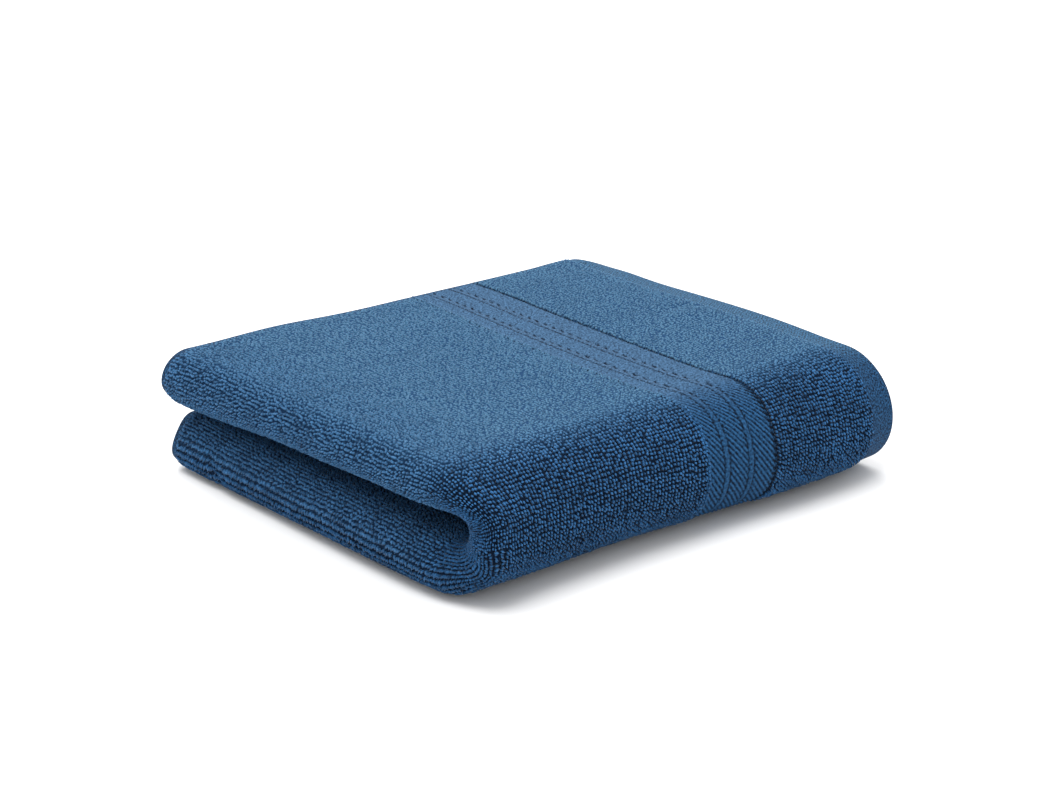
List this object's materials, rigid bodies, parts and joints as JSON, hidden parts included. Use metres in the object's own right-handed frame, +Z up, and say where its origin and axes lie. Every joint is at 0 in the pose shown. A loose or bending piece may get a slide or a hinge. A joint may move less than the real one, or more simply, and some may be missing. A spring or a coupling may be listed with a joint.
{
  "type": "folded hand towel",
  "caption": "Terry hand towel with a flat woven border near each end, folded along its length and then across into a soft stack with a round front fold.",
  "frame": {"origin": "middle of the underside, the bottom centre of the bounding box", "axes": "+X along the towel's length towards the hem that lies on top, +Y from the round front fold to the selvedges at the back, +Z up"},
  "size_m": [0.2772, 0.2414, 0.0663],
  "materials": {
    "terry": "looped cotton terry dyed a medium blue, with flat twill borders, hems and selvedges of the same yarn"
  },
  "bodies": {
    "root": {"hand_towel": "terry"}
  },
  "joints": []
}
